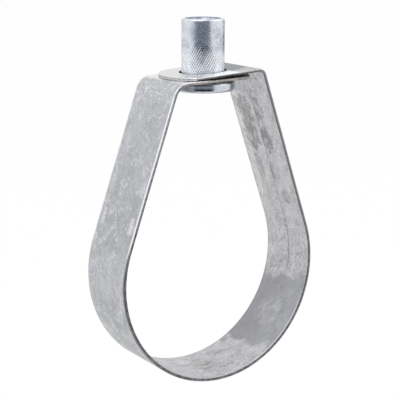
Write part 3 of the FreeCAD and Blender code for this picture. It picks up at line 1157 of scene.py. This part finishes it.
# Studio, with angles in degrees
WHITE = (1, 1, 1)
WORLD_LIGHT = 0.8
FLOOR_DROP = 60 * MM
FLOOR_SIZE = 6.0
FLOOR_GREY = (0.9, 0.9, 0.9)
FLOOR_WHITENESS = 0.955
CARD_STEPS = 24
CARD_COLOUR = (0.87, 0.95, 1.12)
CARD_FADED_LEVEL = 0.75
CARD_BRIGHTENS = (-0.003, 0.012)  # heights
CARD_DARKENS = (0.024, 0.044)
CARDS = [
    Card("dark_card_front", (-88, 8), (0.15, 0.42), (-0.09, 0.3), (0.0, 0.75, 0.2), 0.3),
    Card("dark_card_side", (98, 138), (0.4, 0.42), (-0.09, 0.045), (0.25, 0.25, 0.25), 0.2),
]
LAMPS = [
    Lamp("key_lamp", -70, 55, 1.2, 0.9, 7),
    Lamp("fill_lamp", 60, 35, 1.4, 0.9, 4),
]


def seen_directly(net):
    """1 for a ray from the camera, or one that a mirror or glass sends on."""
    rays = net.add("ShaderNodeLightPath").outputs
    return net.most(rays["Is Camera Ray"], rays["Is Glossy Ray"], rays["Is Transmission Ray"])


def make_world():
    """White where it is seen, and a little dimmer as light."""
    world = bpy.data.worlds.new("studio")
    bpy.context.scene.world = world
    world.use_nodes = True
    net = Net(world.node_tree)
    strength = net.smooth(seen_directly(net), 0, 1, WORLD_LIGHT, 1.0)
    background = net.add("ShaderNodeBackground", [("Color", WHITE), ("Strength", strength)])
    net.add("ShaderNodeOutputWorld", [("Surface", background.outputs["Background"])])


def make_floor():
    """A plain white floor below the hanging part, which keeps a little of its shadow."""
    bpy.ops.mesh.primitive_plane_add(size=FLOOR_SIZE, location=(0, 0, cad_box[0].z - FLOOR_DROP))
    floor = bpy.context.object
    floor.name = "floor"
    material, net = new_material("floor_white")
    matt = net.add("ShaderNodeBsdfDiffuse", [("Color", FLOOR_GREY)])
    white = net.add("ShaderNodeEmission", [("Color", WHITE), ("Strength", 1.0)])
    share = net.times(seen_directly(net), FLOOR_WHITENESS)
    mixed = net.add("ShaderNodeMixShader", [(0, share), (1, matt.outputs[0]), (2, white.outputs[0])])
    net.add("ShaderNodeOutputMaterial", [("Surface", mixed.outputs[0])])
    floor.data.materials.append(material)


def make_dark_card(card):
    """A dark card of the studio, seen only in reflections: part of an upright cylinder, with a foot.

    Its distances are those of its foot's edge and of its upright part. Its levels are its brightness low
    down, halfway and high up. It fades to light over a share of its width, next to its lower azimuth.
    """
    low, high = card.heights
    foot, wall = card.distances
    points, faces = [], []
    for i in range(CARD_STEPS + 1):
        a = radians(card.azimuths[0] + (card.azimuths[1] - card.azimuths[0]) * i / CARD_STEPS)
        for distance, height in ((foot, low), (wall, low), (wall, high)):
            points.append((distance * sin(a), -distance * cos(a), height))
    for i in range(CARD_STEPS):
        for row in (3 * i, 3 * i + 1):
            faces.append((row, row + 3, row + 4, row + 1))
    mesh = bpy.data.meshes.new(card.name)
    mesh.from_pydata(points, [], faces)
    add_map(mesh, SPREAD, [(index // 3 / CARD_STEPS, index % 3 // 2) for index in range(len(points))])
    mesh.materials.append(card_glow(card))
    made = new_object(card.name, mesh)
    made.visible_camera = False
    made.visible_diffuse = False
    made.visible_shadow = False
    made.visible_transmission = False


def card_glow(card):
    """A card's faint glow, by height and towards its faded edge."""
    material, net = new_material(card.name)
    low, high = card.heights
    place = net.split(net.uv(SPREAD))
    rise = net.plus(net.times(place[1], high - low), low)
    level = net.smooth(rise, *CARD_BRIGHTENS, *card.levels[:2])
    level = net.minus(level, net.smooth(rise, *CARD_DARKENS, 0.0, card.levels[1] - card.levels[2]))
    strength = net.smooth(place[0], 0.0, card.fade, CARD_FADED_LEVEL, level)
    glow = net.add("ShaderNodeEmission", [("Color", CARD_COLOUR), ("Strength", strength)])
    net.add("ShaderNodeOutputMaterial", [("Surface", glow.outputs[0])])
    return material


def make_lamp(lamp):
    """A soft square lamp that looks at the part."""
    data = bpy.data.lights.new(lamp.name, "AREA")
    data.shape = "SQUARE"
    data.size = lamp.size
    data.energy = lamp.power
    made = new_object(lamp.name, data)
    azimuth, elevation = radians(lamp.azimuth), radians(lamp.elevation)
    flat = cos(elevation) * lamp.distance
    away = Vector((sin(azimuth) * flat, -cos(azimuth) * flat, sin(elevation) * lamp.distance))
    made.location = CAMERA_TARGET + away
    made.rotation_mode = "QUATERNION"
    made.rotation_quaternion = (-away).to_track_quat("-Z", "Y")


def make_camera():
    """The camera as fitted to the photograph."""
    flat = cos(CAMERA_ELEVATION)
    forward = Vector((-sin(CAMERA_AZIMUTH) * flat, cos(CAMERA_AZIMUTH) * flat, -sin(CAMERA_ELEVATION)))
    level = Vector((cos(CAMERA_AZIMUTH), sin(CAMERA_AZIMUTH), 0))
    right = Matrix.Rotation(-CAMERA_ROLL, 3, forward) @ level
    up = right.cross(forward)
    data = bpy.data.cameras.new("camera")
    data.sensor_width = SENSOR_WIDTH
    data.lens = FOCAL_PIXELS / FRAME_PIXELS * SENSOR_WIDTH
    data.shift_x = (FRAME_PIXELS / 2 - PRINCIPAL_POINT[0]) / FRAME_PIXELS
    data.shift_y = (PRINCIPAL_POINT[1] - FRAME_PIXELS / 2) / FRAME_PIXELS
    data.clip_start = NEAREST_SEEN
    camera = new_object("camera", data)
    turn = Matrix((right, up, -forward)).transposed().to_4x4()
    camera.matrix_world = Matrix.Translation(CAMERA_TARGET - forward * CAMERA_DISTANCE) @ turn
    bpy.context.scene.camera = camera


band = build_band()
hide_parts("ring_band")
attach(band, "band")

nut = build_nut()
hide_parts("swivel_nut")
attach(nut, "nut")

make_world()
make_floor()
for card in CARDS:
    make_dark_card(card)
for lamp in LAMPS:
    make_lamp(lamp)
make_camera()
bpy.context.scene.view_settings.view_transform = "Standard"
